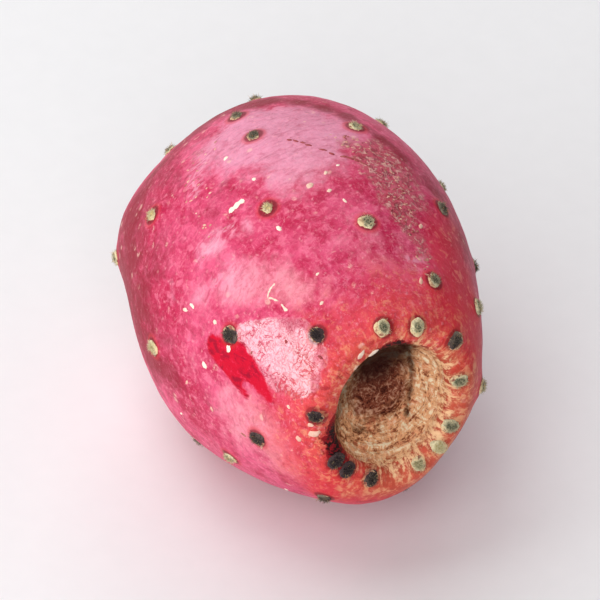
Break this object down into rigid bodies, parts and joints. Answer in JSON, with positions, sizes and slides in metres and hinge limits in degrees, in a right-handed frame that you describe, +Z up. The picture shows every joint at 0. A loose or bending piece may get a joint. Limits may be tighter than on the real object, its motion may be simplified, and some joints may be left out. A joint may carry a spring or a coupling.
{
  "type": "prickly pear fruit",
  "caption": "Whole ripe prickly pear fruit lying on its side: an egg-shaped berry with areole pads on low mounds, a sunken flower scar at one end and a small dished stem scar at the other.",
  "frame": {"origin": "centre of the bounding box in plan, on the surface that the fruit rests on", "axes": "+Z up; +X along the fruit towards its flower scar, whose end is raised 7 degrees; +Y to the side"},
  "size_m": [0.0798, 0.0544, 0.0587],
  "materials": {
    "skin": "waxy pink to crimson skin with a thin bloom, rubbed glossy in places"
  },
  "bodies": {
    "root": {"fruit": "skin"}
  },
  "joints": []
}
